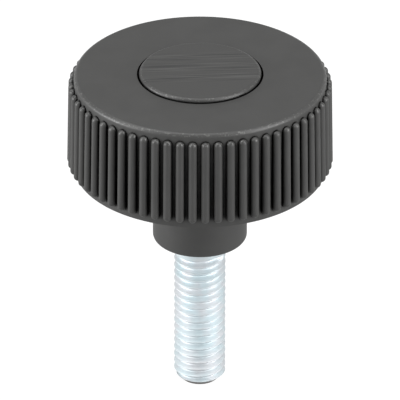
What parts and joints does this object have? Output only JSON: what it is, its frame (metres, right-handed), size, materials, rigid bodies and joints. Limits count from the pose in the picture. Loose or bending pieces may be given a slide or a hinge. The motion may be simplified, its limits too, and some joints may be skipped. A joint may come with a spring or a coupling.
{
  "type": "knurled knob",
  "caption": "Round hand knob with straight grip ribs, a hub, a clamping stud and a click-in cover cap.",
  "frame": {"origin": "centre of the hub's flat seating face, on the stud's axis", "axes": "+Z runs along the axis from the hub towards the head's top face, so the stud points to -Z; one rib is centred on +X"},
  "size_m": [0.0502, 0.0502, 0.0661],
  "materials": {
    "body_plastic": "matte black-grey, lightly eroded mould surface",
    "stud_steel": "bright zinc plating with a bluish passivation",
    "cap_plastic": "matte black-grey, with faint handling marks"
  },
  "bodies": {
    "root": {"knob_body": "body_plastic", "threaded_stud": "stud_steel", "cover_cap": "cap_plastic"}
  },
  "joints": []
}
